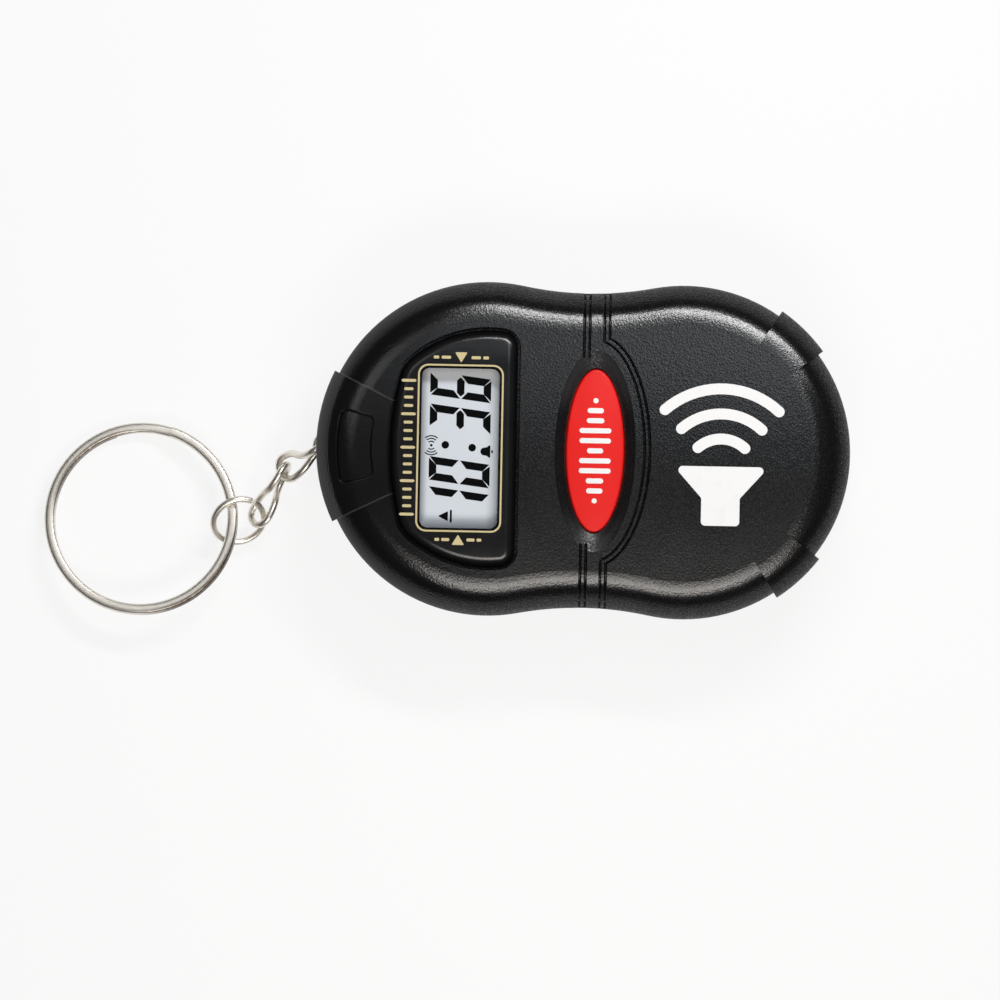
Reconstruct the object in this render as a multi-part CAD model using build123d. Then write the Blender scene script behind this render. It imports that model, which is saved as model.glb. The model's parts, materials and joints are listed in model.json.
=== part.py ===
from build123d import *
import os
from math import cos, pi, radians, sin, sqrt

# Talking key-chain clock, in millimetres.  The origin is on the flat rear face, midway between
# the two lobes of the case.  +X points away from the key ring, +Z points out of the clock's face.

# Case
lobe_radius = 20.0
lobe_spacing = 23.4
waist_radius = 40.0
case_height = 16.0
parting_height = 7.0
front_round = 4.5
rear_round = 2.5
side_wall = 1.6
face_wall = 2.4
floor_wall = 1.6
lip_thickness = 0.7
lip_height = 1.2
fit_gap = 0.1
seat_gap = 0.02

# Raised moulding on the rim
band_half_angle = 26.0
band_raise = 0.6
band_face_raise = 0.3
band_recess_depth = 0.25
recess_half_angle = 14.5
recess_outer_inset = 1.9
recess_inner_inset = 6.0
recess_corner = 0.8
pad_raise = 0.7
pad_angle_low = 37.0
pad_angle_high = 56.0
moulding_width = 12.0

# Display, placed from the left lobe
bezel_rim = 5.8
bezel_right_offset = 3.4
bezel_left_inset = 8.2
bezel_left_radius = 34.0
bezel_left_corner = 4.0
bezel_right_corner = 2.0
bezel_edge_round = 1.2
bezel_thickness = 1.6
bezel_proud = 0.1
bezel_gap = 0.35
window_left_margin = 3.5
window_right_margin = 1.9
window_end_margin = 4.4
window_corner = 1.2
view_margin = 0.25
lens_gap = 0.03
lens_sink = 0.1
lcd_side_margin = 1.6
lcd_end_margin = 1.9
lcd_thickness = 1.9
lcd_corner = 0.3
carrier_wall = 0.6
zebra_width = 1.6
zebra_end_gap = 1.0

# Talk button
button_x = 1.1
button_half_width = 3.475
button_half_length = 9.75
button_gap = 0.15
button_travel = 0.8
button_sink = 0.25
button_crown_length = 92.0
button_crown_width = 17.0
button_edge_round = 0.3
dish_half_width = 4.85
dish_half_length = 12.1
dish_depth = 0.85
dish_foot_gap = 0.2
flange_reach = 0.8
flange_thickness = 0.8
plunger_radius = 2.0
plunger_length = 0.55
dome_base_radius = 3.6
dome_crown_radius = 2.0
dome_side_wall = 0.7
dome_crown_wall = 0.6
groove_width = 0.95
groove_depth = 0.2
groove_line_width = 0.3
groove_line_depth = 0.8
groove_spread = 1.2
groove_ring_gap = 1.4
groove_overlap = 1.0
groove_end_height = 2.5

# Circuit board
board_top = 9.6
board_thickness = 1.0
board_inset = 2.8
board_right_x = 8.5
board_screw_offset = 6.3
board_screw_inset = 6.4
board_screw_head_height = 0.8
chip_offset = 2.6
chip_radius = 3.5
chip_height = 1.2
crystal_offset = 1.6
crystal_y = 9.5
crystal_radius = 1.0
crystal_length = 5.0

# Rear buttons
set_button_x = -1.3
set_button_y = 8.0
set_button_radius = 1.6
set_button_travel = 0.45
set_button_recess = 0.3
set_button_round = 0.25
set_flange_width = 0.6
set_stem_radius = 1.0
set_stem_gap = 0.05
switch_height = 2.0
switch_body_width = 4.5
switch_tip_radius = 0.9
switch_tip_height = 0.4

# Speaker, placed from the centre of the right lobe
speaker_offset = 0.8
speaker_radius = 10.0
speaker_height = 4.3
speaker_cup_radius = 6.4
speaker_sheet = 0.6
speaker_rim_width = 0.9
speaker_rim_height = 0.8
speaker_cup_depth = 1.7
speaker_seat_wall = 0.9
speaker_seat_height = 2.0
magnet_radius = 4.5
magnet_height = 1.5
coil_radius = 4.2
cone_film = 0.25
cone_lift = 0.75
lead_radius = 0.4
lead_bend = 0.8
lead_spread = 2.4
lead_start = 3.0
lead_end_inset = 1.5
grille_hole_radius = 0.75
grille_pitch = 3.2

# Cells and their door, placed from the centre of the left lobe
cell_radius = 5.8
cell_height = 5.4
cell_gap = 0.3
cell_offset = 0.3
cell_edge_round = 0.5
door_ledge = 1.0
door_gap = 0.15
door_recess = 0.1
door_corner = 2.0
door_edge_round = 0.3
door_grip_length = 6.0
door_grip_width = 1.0
door_grip_pitch = 1.6
door_grip_depth = 0.35
door_grip_inset = 2.5
door_tab_gap = 1.3
door_tab_wall = 0.9
door_screw_head_height = 0.6
door_boss_drop = 1.0
contact_sheet = 0.3
contact_length = 8.3
contact_pad = 3.0
contact_width = 4.0
bridge_width = 6.0
bridge_overlap = 3.0
bridge_corner = 1.0
compartment_wall = 1.0
bay_ledge_height = 1.2

# Screws
screw_radius = 0.75
screw_head_radius = 1.4
screw_head_height = 1.0
screw_sink = 1.8
screw_tip_gap = 0.5
screw_edge_round = 0.2
screw_cross_length = 1.6
screw_cross_width = 0.4
boss_radius = 1.9
boss_roof = 1.0
board_boss_roof = 0.4
screw_inset = 4.25
right_screw_angle = 72.3
left_screw_angle = 145.1

# Chain
staple_wire = 0.8
staple_bow_radius = 1.5
staple_reach = 0.7
notch_half_width = 3.6
notch_depth = 3.3
notch_low = 3.2
notch_high = 10.4
notch_corner = 0.8
notch_side_wall = 1.2
notch_top_wall = 1.2
notch_skin = 0.8
notch_rear_wall = 0.2
staple_leg_seat = 2.0
link_wire = 0.85
link_length = 8.95
link_bend_radius = 1.45
chain_slack = 0.48
jump_wire = 0.8
jump_radius = 3.1
jump_cut_angle = 8.0
jump_cut_turn = 60.0
split_ring_radius = 11.05
split_wire_width = 1.25
split_wire_height = 0.65
split_wire_round = 0.28
split_turn_gap = 0.08
split_turns = 1.9
split_end_turn = 110.0
ring_slack = 1.3

# Heights that follow from the sizes above
lobe_x = lobe_spacing / 2
waist_y = sqrt((lobe_radius + waist_radius) ** 2 - lobe_x**2)
left_end = -lobe_x - lobe_radius
ceiling = case_height - face_wall
bezel_radius = lobe_radius - bezel_rim
bezel_left_x = left_end + bezel_left_inset
bezel_right_x = -lobe_x + bezel_right_offset
window_left_x = bezel_left_x + window_left_margin
window_right_x = bezel_right_x - window_right_margin
display_x = (window_left_x + window_right_x) / 2
aperture_width = window_right_x - window_left_x
aperture_length = 2 * (bezel_radius - window_end_margin)
lcd_width = aperture_width + 2 * lcd_side_margin
lcd_length = aperture_length + 2 * lcd_end_margin
moulding_radius = lobe_radius - moulding_width
bezel_top = case_height + bezel_proud
bezel_seat = bezel_top - bezel_thickness
board_bottom = board_top - board_thickness
dish_floor = case_height - dish_depth
flange_top = ceiling - seat_gap
flange_low = flange_top - flange_thickness
dome_top = flange_low - plunger_length
lcd_top = ceiling - seat_gap
lcd_low = lcd_top - lcd_thickness
switch_low = board_bottom - switch_height
speaker_x = lobe_x + speaker_offset
speaker_low = floor_wall + seat_gap
speaker_top = speaker_low + speaker_height
cell_x = -lobe_x - cell_offset
door_top = floor_wall
bridge_top = door_top + contact_sheet
cell_top = bridge_top + cell_height
compartment_half_width = cell_radius + cell_gap
compartment_half_length = 2 * cell_radius + 1.5 * cell_gap
door_half_width = compartment_half_width + door_ledge
door_half_length = compartment_half_length + door_ledge
door_screw_x = cell_x + door_half_width + door_tab_gap
screw_circle = lobe_radius - screw_inset
right_screw_x = lobe_x + screw_circle * cos(radians(right_screw_angle))
right_screw_y = screw_circle * sin(radians(right_screw_angle))
left_screw_x = -lobe_x + screw_circle * cos(radians(left_screw_angle))
left_screw_y = screw_circle * sin(radians(left_screw_angle))
screw_points = [
    (right_screw_x, right_screw_y),
    (right_screw_x, -right_screw_y),
    (left_screw_x, left_screw_y),
    (left_screw_x, -left_screw_y),
]
board_screw_x = -lobe_x + board_screw_offset
board_screw_y = lobe_radius - board_screw_inset
board_screw_points = [(board_screw_x, board_screw_y), (board_screw_x, -board_screw_y)]
cell_y = cell_radius + cell_gap / 2
cell_points = [(cell_x, cell_y), (cell_x, -cell_y)]


def outline(offset):
    """Peanut outline of the case, grown by offset: two lobe arcs and two waist arcs."""
    lobe = lobe_radius + offset
    waist = waist_radius - offset
    share = lobe / (lobe_radius + waist_radius)
    corner_x = lobe_x * (1 - share)
    corner_y = waist_y * share
    edges = [
        ThreePointArc((corner_x, corner_y), (lobe_x + lobe, 0), (corner_x, -corner_y)),
        ThreePointArc((corner_x, -corner_y), (0, waist - waist_y), (-corner_x, -corner_y)),
        ThreePointArc((-corner_x, -corner_y), (-lobe_x - lobe, 0), (-corner_x, corner_y)),
        ThreePointArc((-corner_x, corner_y), (0, waist_y - waist), (corner_x, corner_y)),
    ]
    return make_face(Curve() + edges)


def case_block(offset, low, high, top_round=0.0, bottom_round=0.0):
    """Solid case form between two heights, with rounded rims."""
    block = Pos(0, 0, low) * extrude(outline(offset), amount=high - low)
    if top_round > 0:
        block = fillet(block.edges().group_by(Axis.Z)[-1], top_round)
    if bottom_round > 0:
        block = fillet(block.edges().group_by(Axis.Z)[0], bottom_round)
    return block


def front_form(offset, rise):
    """Outside of the front shell, grown sideways by offset and upwards by rise."""
    return case_block(offset, parting_height, case_height + rise, top_round=front_round)


def prism(face, low, high):
    """Flat face drawn at height zero, stood up between two heights."""
    return Pos(0, 0, low) * extrude(face, amount=high - low)


def rod(x, y, radius, low, high):
    """Upright cylinder."""
    return prism(Pos(x, y) * Circle(radius), low, high)


def sector(center_x, low_angle, high_angle, inner, outer):
    """Flat ring sector about a point on the X axis."""
    middle = radians((low_angle + high_angle) / 2)
    low = radians(low_angle)
    high = radians(high_angle)

    def spot(radius, angle):
        return (center_x + radius * cos(angle), radius * sin(angle))

    edges = [
        ThreePointArc(spot(outer, low), spot(outer, middle), spot(outer, high)),
        Line(spot(outer, high), spot(inner, high)),
        ThreePointArc(spot(inner, high), spot(inner, middle), spot(inner, low)),
        Line(spot(inner, low), spot(outer, low)),
    ]
    return make_face(Curve() + edges)


def bezel_face(grow):
    """D-shaped display panel, grown all round by grow."""
    left_x = bezel_left_x - grow
    right_x = bezel_right_x + grow
    reach = 2 * lobe_radius
    panel = Pos(-lobe_x, 0) * Circle(bezel_radius + grow)
    panel &= Pos(right_x - reach / 2, 0) * Rectangle(reach, 2 * reach)
    panel &= Pos(left_x + bezel_left_radius, 0) * Circle(bezel_left_radius)
    corners = panel.vertices().sort_by(Axis.X)
    panel = fillet(corners[:2], bezel_left_corner + grow)
    corners = panel.vertices().group_by(Axis.X)[-1]
    return fillet(corners, bezel_right_corner + grow)


def window_face(grow):
    """Rounded rectangle of the display window, grown all round by grow."""
    width = aperture_width + 2 * grow
    length = aperture_length + 2 * grow
    return Pos(display_x, 0) * RectangleRounded(width, length, window_corner + grow)


def button_face(grow):
    """Ellipse of the talk button, grown all round by grow."""
    return Pos(button_x, 0) * Ellipse(button_half_width + grow, button_half_length + grow)


def talk_dish():
    """Sloping elliptical dish round the talk button."""
    mouth = Pos(button_x, 0, case_height) * Ellipse(dish_half_width, dish_half_length)
    base = Pos(0, 0, dish_floor) * button_face(dish_foot_gap)
    return loft([base, mouth])


def groove_face(width):
    """Two grooves over the rim at each end; the right pair is joined round the dish."""
    half = width / 2
    ring_x = dish_half_width + groove_ring_gap
    ring_y = dish_half_length + groove_ring_gap
    reach = 2 * lobe_radius
    right_x = button_x + groove_spread
    left_x = button_x - groove_spread
    ring = Pos(button_x, 0) * Ellipse(ring_x + half, ring_y + half)
    ring -= Pos(button_x, 0) * Ellipse(ring_x - half, ring_y - half)
    ring &= Pos(right_x - half + reach / 2, 0) * Rectangle(reach, 2 * reach)
    total = ring
    for side in (1, -1):
        start = ring_y * sqrt(1 - (groove_spread / ring_x) ** 2)
        total += Pos(right_x, side * (start + reach / 2)) * Rectangle(width, reach)
        left_start = dish_half_length - groove_overlap
        total += Pos(left_x, side * (left_start + reach / 2)) * Rectangle(width, reach)
    return total


def groove_cut(face, depth):
    """What a groove of one depth takes off the rounded rim and the face."""
    floor = case_block(-depth, parting_height, case_height - depth, top_round=front_round - depth)
    return prism(face, parting_height + groove_end_height, 2 * case_height) - floor


def staple_path():
    """Centre line of the chain staple: two legs and a round bow, level with the parting line."""
    tip = Vector(left_end - staple_reach, 0, parting_height)
    bow = tip + Vector(staple_bow_radius, 0, 0)
    root = Vector(left_end + notch_depth + staple_leg_seat, 0, parting_height)
    side = Vector(0, staple_bow_radius, 0)
    return [
        Line(root + side, bow + side),
        ThreePointArc(bow + side, tip, bow - side),
        Line(bow - side, root - side),
    ]


def notch_block(low, high):
    """Thick wall behind the chain notch."""
    outer_x = left_end + notch_skin
    inner_x = left_end + notch_depth + staple_leg_seat + notch_rear_wall
    width = 2 * (notch_half_width + notch_side_wall)
    middle = (outer_x + inner_x) / 2
    return prism(Pos(middle, 0) * Rectangle(inner_x - outer_x, width), low, high)


def notch_cut():
    """Rounded notch in the left end that leaves the chain room to swing."""
    inner_x = left_end + notch_depth
    length = 2 * notch_depth
    mouth = Pos(inner_x - length / 2, 0) * Rectangle(length, 2 * notch_half_width)
    cut = prism(mouth, notch_low, notch_high)
    return fillet(cut.edges().group_by(Axis.X)[-1], notch_corner)


def staple_bores():
    """Bores for the staple's two legs, half in each shell."""
    bores = Part()
    for side in (1, -1):
        start = (left_end, side * staple_bow_radius, parting_height)
        bore = Plane(origin=start, z_dir=(1, 0, 0)) * Circle(staple_wire / 2 + seat_gap)
        bores += extrude(bore, amount=notch_depth + staple_leg_seat + seat_gap)
    return bores


def front_shell():
    """Front half of the case with its moulded rim, display pocket, dish and grooves."""
    shell = front_form(0, 0)
    reach = 2 * lobe_radius
    band = sector(-lobe_x, 180 - band_half_angle, 180 + band_half_angle, moulding_radius, reach)
    shell += front_form(band_raise, band_face_raise) & prism(band, parting_height, 2 * case_height)
    pad_form = front_form(pad_raise, 0)
    for low, high in ((pad_angle_low, pad_angle_high), (-pad_angle_high, -pad_angle_low)):
        pad = sector(lobe_x, low, high, moulding_radius, reach)
        shell += pad_form & prism(pad, parting_height, 2 * case_height)
    recess = sector(
        -lobe_x,
        180 - recess_half_angle,
        180 + recess_half_angle,
        lobe_radius - recess_inner_inset,
        lobe_radius - recess_outer_inset,
    )
    recess = fillet(recess.vertices(), recess_corner)
    recess_floor = front_form(band_raise - band_recess_depth, band_face_raise - band_recess_depth)
    shell -= prism(recess, parting_height, 2 * case_height) - recess_floor
    shell -= groove_cut(groove_face(groove_width), groove_depth)
    groove_lines = groove_face(groove_width) - groove_face(groove_width - 2 * groove_line_width)
    shell -= groove_cut(groove_lines, groove_line_depth)
    shell -= case_block(-side_wall, parting_height, ceiling, top_round=front_round - side_wall)
    lip_room = lip_thickness + fit_gap - side_wall
    shell -= case_block(lip_room, parting_height, parting_height + lip_height + fit_gap)
    for x, y in screw_points:
        shell += rod(x, y, boss_radius, parting_height, ceiling + seat_gap)
    for x, y in board_screw_points:
        shell += rod(x, y, boss_radius, board_top, ceiling + seat_gap)
    shell += notch_block(parting_height, notch_high + notch_top_wall) & front_form(0, 0)
    shell -= prism(bezel_face(bezel_gap), bezel_seat, 2 * case_height)
    shell -= prism(window_face(-view_margin), lcd_low, 2 * case_height)
    shell -= talk_dish()
    shell -= prism(button_face(button_gap), flange_low, dish_floor + fit_gap)
    shell -= notch_cut()
    shell -= staple_bores()
    for x, y in screw_points:
        shell -= rod(x, y, screw_radius + seat_gap, floor_wall, ceiling - boss_roof)
    for x, y in board_screw_points:
        shell -= rod(x, y, screw_radius + seat_gap, board_bottom, ceiling - board_boss_roof)
    return shell


def rounded_box(center_x, half_width, half_length, radius):
    """Flat rounded rectangle centred on the X axis."""
    return Pos(center_x, 0) * RectangleRounded(2 * half_width, 2 * half_length, radius)


def door_face(grow):
    """Outline of the battery door: a rounded plate with a screw tab."""
    plate = rounded_box(cell_x, door_half_width + grow, door_half_length + grow, door_corner + grow)
    tab_radius = screw_head_radius + door_tab_wall + grow
    tab = Pos(door_screw_x, 0) * Circle(tab_radius)
    span = door_screw_x - cell_x
    return plate + tab + Pos(cell_x + span / 2, 0) * Rectangle(span, 2 * tab_radius)


def rear_shell():
    """Rear half of the case with the cell bay, speaker seat, grille and screw posts."""
    shell = case_block(0, 0, parting_height, bottom_round=rear_round)
    inside = case_block(-side_wall, floor_wall, case_height, bottom_round=rear_round - side_wall)
    shell -= inside
    lip = case_block(lip_thickness - side_wall, floor_wall, parting_height + lip_height)
    lip -= case_block(-side_wall, floor_wall, parting_height + lip_height)
    shell += lip
    inner_floor = floor_wall - fit_gap
    for x, y in screw_points:
        shell += rod(x, y, boss_radius, inner_floor, parting_height - seat_gap)
    bay_corner = door_corner + compartment_wall / 2
    bay_width = door_half_width + compartment_wall
    bay = rounded_box(cell_x, bay_width, door_half_length + compartment_wall, bay_corner)
    bay_room = case_block(-side_wall + lip_thickness, 0, parting_height)
    shell += prism(bay, inner_floor, floor_wall + bay_ledge_height) & bay_room
    wall_width = compartment_half_width + compartment_wall
    wall_length = compartment_half_length + compartment_wall
    wall = rounded_box(cell_x, wall_width, wall_length, compartment_wall + cell_edge_round)
    shell += prism(wall, floor_wall, cell_top)
    boss_top = cell_top - door_boss_drop
    shell += rod(door_screw_x, 0, screw_head_radius + door_tab_wall, inner_floor, boss_top)
    seat = Circle(speaker_radius + fit_gap + speaker_seat_wall) - Circle(speaker_radius + fit_gap)
    shell += prism(Pos(speaker_x, 0) * seat, inner_floor, floor_wall + speaker_seat_height)
    shell += notch_block(inner_floor, parting_height) & case_block(0, 0, parting_height)
    bay_hole = rounded_box(cell_x, compartment_half_width, compartment_half_length, cell_edge_round)
    shell -= prism(bay_hole, -case_height, case_height)
    shell -= prism(door_face(door_gap), -case_height, door_top + seat_gap)
    shell -= rod(door_screw_x, 0, screw_radius + seat_gap, 0, boss_top - board_boss_roof)
    for x, y in screw_points:
        shell -= rod(x, y, screw_head_radius + fit_gap, -case_height, screw_sink + screw_head_height)
        shell -= rod(x, y, screw_radius + fit_gap, -case_height, case_height)
    for side in (1, -1):
        y = side * set_button_y
        shell -= rod(set_button_x, y, set_button_radius + fit_gap, -case_height, case_height)
    for radius, count in ((0, 1), (grille_pitch, 6), (2 * grille_pitch, 12)):
        for index in range(count):
            turn = 2 * pi * index / count
            x = speaker_x + radius * cos(turn)
            y = radius * sin(turn)
            shell -= rod(x, y, grille_hole_radius, -case_height, floor_wall + fit_gap)
    gap_length = 2 * (notch_depth + staple_leg_seat + notch_rear_wall + fit_gap)
    gap_width = 2 * (notch_half_width + notch_side_wall + 2 * fit_gap)
    lip_gap = Pos(left_end, 0) * Rectangle(gap_length, gap_width)
    shell -= prism(lip_gap, parting_height, case_height)
    shell -= notch_cut()
    shell -= staple_bores()
    return shell


def display_bezel():
    """Gloss panel round the display window."""
    plate = prism(bezel_face(0), bezel_seat, bezel_top)
    plate = fillet(plate.edges().group_by(Axis.Z)[-1], bezel_edge_round)
    return plate - prism(window_face(0), 0, 2 * case_height)


def display_lens():
    """Clear pane in the bezel's window, resting on the shell's ledge."""
    return prism(window_face(-lens_gap), bezel_seat, bezel_top - lens_sink)


def lcd_panel():
    """Liquid-crystal glass under the window."""
    face = rounded_box(display_x, lcd_width / 2, lcd_length / 2, lcd_corner)
    return prism(face, lcd_low, lcd_top)


def lcd_carrier():
    """Frame that stands on the board round the liquid-crystal glass."""
    half_width = lcd_width / 2 + seat_gap
    half_length = lcd_length / 2 + seat_gap
    inner = rounded_box(display_x, half_width, half_length, lcd_corner)
    corner = lcd_corner + carrier_wall
    outer = rounded_box(display_x, half_width + carrier_wall, half_length + carrier_wall, corner)
    return prism(outer - inner, board_top, lcd_top)


def zebra_strips():
    """Rubber contact strips between the board and the glass."""
    strips = Part()
    strip = Rectangle(zebra_width, lcd_length - 2 * zebra_end_gap)
    for side in (1, -1):
        x = display_x + side * (lcd_width - zebra_width) / 2
        strips += prism(Pos(x, 0) * strip, board_top, lcd_low)
    return strips


def circuit_board():
    """Board that carries the display, the switch domes and the chip."""
    left_x = display_x - lcd_width / 2 - carrier_wall - 2 * seat_gap
    width = board_right_x - left_x
    face = outline(-board_inset) & Pos(left_x + width / 2, 0) * Rectangle(width, 4 * lobe_radius)
    for x, y in board_screw_points:
        face -= Pos(x, y) * Circle(screw_radius + fit_gap)
    for x, y in screw_points:
        face -= Pos(x, y) * Circle(boss_radius + fit_gap)
    return prism(face, board_bottom, board_top)


def chip_blob():
    """Epoxy cap over the sound chip, under the board."""
    x = button_x + chip_offset
    low = board_bottom - chip_height
    ball = (chip_radius**2 + chip_height**2) / (2 * chip_height)
    return Pos(x, 0, low + ball) * Sphere(ball) & rod(x, 0, chip_radius, low, board_bottom)


def quartz_crystal():
    """Clock crystal can lying under the board."""
    start = (button_x + crystal_offset, crystal_y, board_bottom - crystal_radius)
    can = extrude(Plane(origin=start, z_dir=(1, 0, 0)) * Circle(crystal_radius), amount=crystal_length)
    return fillet(can.edges().group_by(Axis.X)[-1], 0.3 * crystal_radius)


def talk_button():
    """Red key with a crowned top, a flange under the face and a plunger."""
    top = case_height - button_sink
    cap = prism(button_face(0), flange_low, top)
    crown = Torus(button_crown_length - button_crown_width, button_crown_width)
    cap &= Pos(button_x, 0, top - button_crown_length) * Rot(0, 90, 0) * crown
    cap = fillet(cap.edges().group_by(Axis.Z)[-1], button_edge_round)
    cap += prism(button_face(flange_reach), flange_low, flange_top)
    return cap + rod(button_x, 0, plunger_radius, dome_top + seat_gap, flange_top)


def talk_dome():
    """Rubber dome under the talk button."""
    low = Pos(button_x, 0, board_top) * Circle(dome_base_radius)
    high = Pos(button_x, 0, dome_top) * Circle(dome_crown_radius)
    room_low = Pos(button_x, 0, board_top) * Circle(dome_base_radius - dome_side_wall)
    room_high = Pos(button_x, 0, dome_top - dome_crown_wall) * Circle(dome_crown_radius - dome_side_wall)
    return loft([low, high]) - loft([room_low, room_high])


def set_button(side):
    """Small rear key with a flange on the floor and a stem towards its switch."""
    y = side * set_button_y
    flange = floor_wall + seat_gap
    flange_end = flange + set_flange_width
    key = rod(set_button_x, y, set_button_radius, set_button_recess, flange_end)
    key = fillet(key.edges().group_by(Axis.Z)[0], set_button_round)
    key += rod(set_button_x, y, set_button_radius + set_flange_width, flange, flange_end)
    stem_end = switch_low - set_button_travel - set_stem_gap
    return key + rod(set_button_x, y, set_stem_radius, flange, stem_end)


def set_switches():
    """Two tactile switches under the board."""
    switches = Part()
    for side in (1, -1):
        y = side * set_button_y
        square = Pos(set_button_x, y) * Rectangle(switch_body_width, switch_body_width)
        switches += prism(square, switch_low + switch_tip_height, board_bottom)
        switches += rod(set_button_x, y, switch_tip_radius, switch_low, board_bottom)
    return switches


def turned(points, x):
    """Solid of revolution about an upright line, from radius and height pairs."""
    profile = make_face(Polyline(*[(radius, 0, height) for radius, height in points], close=True))
    return Pos(x, 0, 0) * revolve(profile, Axis.Z)


def speaker_frame():
    """Pressed steel basket of the speaker, rim down on the floor."""
    low = speaker_low
    high = speaker_top
    cup = speaker_cup_radius
    rim = speaker_radius
    sheet = speaker_sheet
    return turned(
        [
            (rim, low),
            (rim, low + speaker_rim_height),
            (cup, high - speaker_cup_depth),
            (cup, high),
            (0, high),
            (0, high - sheet),
            (cup - sheet, high - sheet),
            (cup - sheet, high - speaker_cup_depth - sheet / 3),
            (rim - speaker_rim_width, low + speaker_rim_height - sheet / 6),
            (rim - speaker_rim_width, low),
        ],
        speaker_x,
    )


def speaker_magnet():
    """Magnet glued into the cup of the basket."""
    high = speaker_top - speaker_sheet
    return rod(speaker_x, 0, magnet_radius, high - magnet_height, high)


def speaker_cone():
    """Thin film cone with its centre dome."""
    low = speaker_low + fit_gap
    film = cone_film
    edge = speaker_radius - speaker_rim_width - seat_gap
    coil = coil_radius
    return turned(
        [
            (edge, low),
            (edge, low + film),
            (coil, low + cone_lift + film),
            (coil / 2, low + cone_lift / 2 + film),
            (0, low + cone_lift / 3 + film),
            (0, low + cone_lift / 3),
            (coil / 2, low + cone_lift / 2),
            (coil, low + cone_lift),
        ],
        speaker_x,
    )


def speaker_leads():
    """Two insulated leads from the basket to the board."""
    leads = Part()
    middle = (speaker_top + board_bottom) / 2
    start_x = speaker_x - lead_start
    end_x = board_right_x - lead_end_inset
    for side in (1, -1):
        y = side * lead_spread
        path = FilletPolyline(
            (start_x, y, speaker_top),
            (start_x, y, middle),
            (end_x, y, middle),
            (end_x, y, board_bottom),
            radius=lead_bend,
        )
        section = Plane(origin=path @ 0, z_dir=path % 0) * Circle(lead_radius)
        leads += sweep(section, path=path)
    return leads


def battery_cells():
    """Two button cells side by side."""
    cells = Part()
    for x, y in cell_points:
        cell = rod(x, y, cell_radius, bridge_top, cell_top)
        cell = fillet(cell.edges().group_by(Axis.Z)[-1], cell_edge_round)
        cells += fillet(cell.edges().group_by(Axis.Z)[0], cell_edge_round)
    return cells


def battery_contacts():
    """Two spring leaves soldered under the board, one on each cell."""
    leaves = Part()
    sheet = contact_sheet
    high = board_bottom
    low = cell_top
    for x, y in cell_points:
        start = x - contact_length / 2
        bend = start + contact_pad
        touch = x + contact_length / 4
        end = x + contact_length / 2
        profile = Polyline(
            (start, 0, high),
            (bend, 0, high),
            (bend + sheet, 0, high - sheet),
            (touch, 0, low + sheet),
            (end, 0, low + 2 * sheet),
            (end, 0, low + sheet),
            (touch, 0, low),
            (bend - sheet / 3, 0, high - 1.6 * sheet),
            (bend - sheet, 0, high - sheet),
            (start, 0, high - sheet),
            close=True,
        )
        leaf = extrude(make_face(profile), amount=contact_width / 2, both=True)
        leaves += Pos(0, y, 0) * leaf
    return leaves


def battery_bridge():
    """Plate on the inside of the door that joins the two cells."""
    plate = rounded_box(cell_x, bridge_width / 2, cell_y + bridge_overlap, bridge_corner)
    return prism(plate, door_top, bridge_top)


def battery_door():
    """Rear door over the cells, held by one screw."""
    plate = prism(door_face(0), door_recess, door_top)
    plate = fillet(plate.edges().group_by(Axis.Z)[0], door_edge_round)
    head_seat = door_recess + fit_gap + door_screw_head_height
    plate -= rod(door_screw_x, 0, screw_head_radius + fit_gap, -case_height, head_seat)
    plate -= rod(door_screw_x, 0, screw_radius + fit_gap, -case_height, case_height)
    grip = Rot(0, 0, 90) * SlotOverall(door_grip_length, door_grip_width)
    grip_x = cell_x - door_half_width + door_grip_inset
    for step in (-1, 0, 1):
        spot = Pos(grip_x + door_grip_pitch * step, 0) * grip
        plate -= prism(spot, -case_height, door_recess + door_grip_depth)
    return plate


def screw(x, y, low, length, head_height):
    """Cross-head screw driven upwards: head at the low end."""
    body = rod(x, y, screw_head_radius, low, low + head_height)
    body = fillet(body.edges().group_by(Axis.Z)[0], screw_edge_round)
    body += rod(x, y, screw_radius, low, low + head_height + length)
    for turn in (0, 90):
        cross = Pos(x, y) * Rot(0, 0, turn) * Rectangle(screw_cross_length, screw_cross_width)
        body -= prism(cross, low - head_height, low + screw_cross_width)
    return body


def case_screws():
    """Four screws from the rear into the front bosses."""
    screws = Part()
    top = ceiling - boss_roof - screw_tip_gap
    length = top - screw_sink - screw_head_height
    for x, y in screw_points:
        screws += screw(x, y, screw_sink, length, screw_head_height)
    return screws


def board_screws():
    """Two screws that hold the board to the front shell."""
    screws = Part()
    low = board_bottom - board_screw_head_height
    length = ceiling - board_boss_roof - screw_tip_gap - board_bottom
    for x, y in board_screw_points:
        screws += screw(x, y, low, length, board_screw_head_height)
    return screws


def door_screw():
    """Screw of the battery door, driven into the boss beside the bay."""
    low = door_recess + fit_gap
    top = cell_top - door_boss_drop - board_boss_roof - screw_tip_gap / 2
    return screw(door_screw_x, 0, low, top - low - door_screw_head_height, door_screw_head_height)


def wire(edges, diameter):
    """Round wire along edges that meet without a kink."""
    section = Plane(origin=edges[0] @ 0, z_dir=edges[0] % 0) * Circle(diameter / 2)
    return sweep(section, path=Wire(edges))


def chain_staple():
    """Wire staple that holds the chain, clamped between the two shells."""
    return wire(staple_path(), staple_wire)


def heading(azimuth, elevation):
    """Unit vector from a compass angle in the table plane and an angle above it."""
    level = cos(radians(elevation))
    turn = radians(azimuth)
    return Vector(level * cos(turn), level * sin(turn), sin(radians(elevation)))


def sideways(direction, roll):
    """Unit vector square to a heading, level at roll zero and turned about the heading by roll."""
    level = direction.cross(Vector(0, 0, 1)).normalized()
    return level.rotate(Axis((0, 0, 0), direction), roll)


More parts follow.
